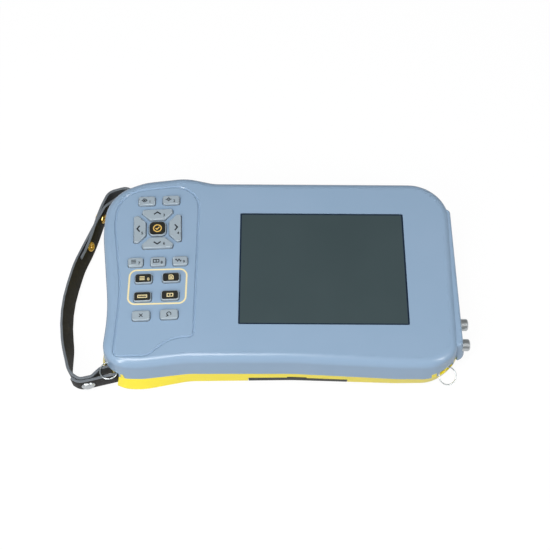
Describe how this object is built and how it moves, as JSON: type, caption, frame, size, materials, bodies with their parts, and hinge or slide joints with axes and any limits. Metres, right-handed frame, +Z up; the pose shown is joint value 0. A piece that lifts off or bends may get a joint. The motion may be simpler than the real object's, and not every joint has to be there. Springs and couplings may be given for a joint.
{
  "type": "ultrasound scanner",
  "caption": "Tablet-shaped portable ultrasound scanner with a screen, a keypad on the left, round probe sockets on the right side and a leather hand strap.",
  "frame": {"origin": "bottom centre of the whole scanner, on the table under its rubber feet", "axes": "+X to the user's right, towards the sockets; +Y away from the user; +Z up out of the screen"},
  "size_m": [0.2784, 0.157, 0.0399],
  "materials": {
    "blue_plastic": "fine satin texture",
    "yellow_plastic": "satin",
    "black_rubber": "matt",
    "steel": "brushed",
    "clear_window": "clear",
    "screen": "dark, switched off",
    "grey_keys": "matt",
    "grey_rubber": "matt",
    "green_board": "solder mask",
    "black_plastic": "fine texture",
    "gold_contacts": "plated",
    "nickel": "plated",
    "brass": "polished",
    "leather": "smooth, cut edges"
  },
  "bodies": {
    "housing": {"top_shell": "blue_plastic", "bottom_shell": "yellow_plastic", "housing_seal": "black_rubber", "rubber_feet": "black_rubber", "housing_screws": "steel", "window_lens": "clear_window", "lcd_gasket": "black_rubber", "lcd_module": "screen", "lcd_bracket": "steel", "bracket_screws": "steel", "keypad_mat": "grey_rubber", "keypad_board": "green_board", "keypad_screws": "steel", "main_board": "green_board", "board_parts": "black_plastic", "receiver_shield": "steel", "board_screws": "steel", "battery_contacts": "gold_contacts", "probe_socket_shell": "nickel", "probe_socket_insert": "black_plastic", "probe_socket_nut": "nickel", "aux_socket_shell": "nickel", "aux_socket_insert": "black_plastic", "aux_socket_nut": "nickel"},
    "key_1": {"key_1": "grey_keys"},
    "key_2": {"key_2": "grey_keys"},
    "key_7": {"key_7": "grey_keys"},
    "key_8": {"key_8": "grey_keys"},
    "key_9": {"key_9": "grey_keys"},
    "key_menu": {"key_menu": "grey_keys"},
    "key_memo": {"key_memo": "grey_keys"},
    "key_measure": {"key_measure": "grey_keys"},
    "key_note": {"key_note": "grey_keys"},
    "key_clear": {"key_clear": "grey_keys"},
    "key_reset": {"key_reset": "grey_keys"},
    "key_up": {"key_up": "grey_keys"},
    "key_left": {"key_left": "grey_keys"},
    "key_down": {"key_down": "grey_keys"},
    "key_right": {"key_right": "grey_keys"},
    "key_ok": {"key_ok": "grey_keys"},
    "battery_pack": {"battery_pack": "black_plastic"},
    "strap": {"strap": "leather", "strap_rivets": "brass", "strap_snap": "nickel", "ring_front_left": "nickel"},
    "ring_front_right": {"ring_front_right": "nickel"}
  },
  "joints": [
    {"name": "key_1_press", "type": "slide", "parent": "housing", "child": "key_1", "axis": [0, 0, -1], "range_m": [0, 0.0008], "stiffness_N_per_m": 800},
    {"name": "key_2_press", "type": "slide", "parent": "housing", "child": "key_2", "axis": [0, 0, -1], "range_m": [0, 0.0008], "stiffness_N_per_m": 800},
    {"name": "key_7_press", "type": "slide", "parent": "housing", "child": "key_7", "axis": [0, 0, -1], "range_m": [0, 0.0008], "stiffness_N_per_m": 800},
    {"name": "key_8_press", "type": "slide", "parent": "housing", "child": "key_8", "axis": [0, 0, -1], "range_m": [0, 0.0008], "stiffness_N_per_m": 800},
    {"name": "key_9_press", "type": "slide", "parent": "housing", "child": "key_9", "axis": [0, 0, -1], "range_m": [0, 0.0008], "stiffness_N_per_m": 800},
    {"name": "key_menu_press", "type": "slide", "parent": "housing", "child": "key_menu", "axis": [0, 0, -1], "range_m": [0, 0.0008], "stiffness_N_per_m": 800},
    {"name": "key_memo_press", "type": "slide", "parent": "housing", "child": "key_memo", "axis": [0, 0, -1], "range_m": [0, 0.0008], "stiffness_N_per_m": 800},
    {"name": "key_measure_press", "type": "slide", "parent": "housing", "child": "key_measure", "axis": [0, 0, -1], "range_m": [0, 0.0008], "stiffness_N_per_m": 800},
    {"name": "key_note_press", "type": "slide", "parent": "housing", "child": "key_note", "axis": [0, 0, -1], "range_m": [0, 0.0008], "stiffness_N_per_m": 800},
    {"name": "key_clear_press", "type": "slide", "parent": "housing", "child": "key_clear", "axis": [0, 0, -1], "range_m": [0, 0.0008], "stiffness_N_per_m": 800},
    {"name": "key_reset_press", "type": "slide", "parent": "housing", "child": "key_reset", "axis": [0, 0, -1], "range_m": [0, 0.0008], "stiffness_N_per_m": 800},
    {"name": "key_up_press", "type": "slide", "parent": "housing", "child": "key_up", "axis": [0, 0, -1], "range_m": [0, 0.0008], "stiffness_N_per_m": 800},
    {"name": "key_left_press", "type": "slide", "parent": "housing", "child": "key_left", "axis": [0, 0, -1], "range_m": [0, 0.0008], "stiffness_N_per_m": 800},
    {"name": "key_down_press", "type": "slide", "parent": "housing", "child": "key_down", "axis": [0, 0, -1], "range_m": [0, 0.0008], "stiffness_N_per_m": 800},
    {"name": "key_right_press", "type": "slide", "parent": "housing", "child": "key_right", "axis": [0, 0, -1], "range_m": [0, 0.0008], "stiffness_N_per_m": 800},
    {"name": "key_ok_press", "type": "slide", "parent": "housing", "child": "key_ok", "axis": [0, 0, -1], "range_m": [0, 0.0008], "stiffness_N_per_m": 800},
    {"name": "battery_slide", "type": "slide", "parent": "housing", "child": "battery_pack", "axis": [0, -1, 0], "range_m": [0, 0.065]},
    {"name": "strap_lift", "type": "hinge", "parent": "housing", "child": "strap", "pos_m": [-0.0983, 0.00025, 0.0121], "axis": [0.0264, 0.9997, 0], "range_deg": [0, 9]},
    {"name": "ring_tilt", "type": "hinge", "parent": "housing", "child": "ring_front_right", "pos_m": [0.12291, -0.06546, 0.018], "axis": [-0.8988, -0.4384, 0], "range_deg": [0, 38]}
  ]
}
